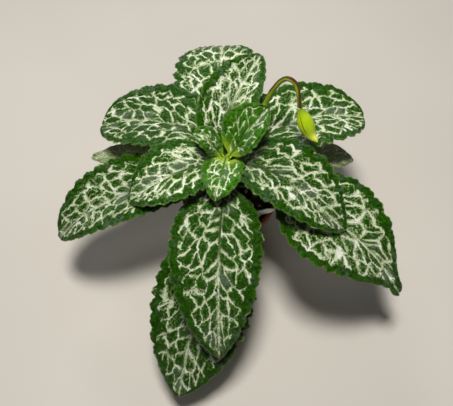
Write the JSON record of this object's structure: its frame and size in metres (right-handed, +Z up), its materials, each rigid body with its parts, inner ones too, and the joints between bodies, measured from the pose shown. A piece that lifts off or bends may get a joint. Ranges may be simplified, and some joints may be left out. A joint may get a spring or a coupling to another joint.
{
  "type": "potted primulina",
  "caption": "Potted rosette plant with thick scalloped leaves, dark green with a cream-green net, and a nodding yellow-green flower bud, in a small round brown-red pot.",
  "frame": {"origin": "centre of the pot's flat base, on the surface it stands on", "axes": "+Z up along the pot's axis, -Y to the front, where the longest leaves point, +X to the right"},
  "size_m": [0.2153, 0.236, 0.1282],
  "materials": {
    "pot_plastic": "thin moulded brown-red plastic, dull satin",
    "soil": "moist dark potting mix, loose crumbs",
    "label_plastic": "plain white strip, satin, unprinted",
    "crown_tissue": "short living stem, green to light brown",
    "leaf_skin": "thick dark green leaf with a cream-green net, satin",
    "young_leaf_skin": "young brighter green leaf with a cream-green net, satin",
    "stem_green": "yellow-green and purple-brown stalk with short hairs",
    "bud_yellow_green": "closed yellow-green bud, satin"
  },
  "bodies": {
    "root": {"pot": "pot_plastic", "soil": "soil", "label": "label_plastic", "crown": "crown_tissue", "leaf_front": "leaf_skin", "leaf_front_lower": "leaf_skin", "leaf_right_lower": "leaf_skin", "leaf_right_upper": "leaf_skin", "leaf_left_upper": "leaf_skin", "leaf_left_lower": "leaf_skin", "leaf_left_back": "leaf_skin", "leaf_left_under": "leaf_skin", "leaf_back_lower": "leaf_skin", "leaf_back_upper": "leaf_skin", "leaf_right_back": "leaf_skin", "leaf_right_under": "leaf_skin", "young_leaf_right": "young_leaf_skin", "young_leaf_front": "young_leaf_skin", "young_leaf_left": "young_leaf_skin", "flower_stem": "stem_green", "flower_bud": "bud_yellow_green"}
  },
  "joints": []
}
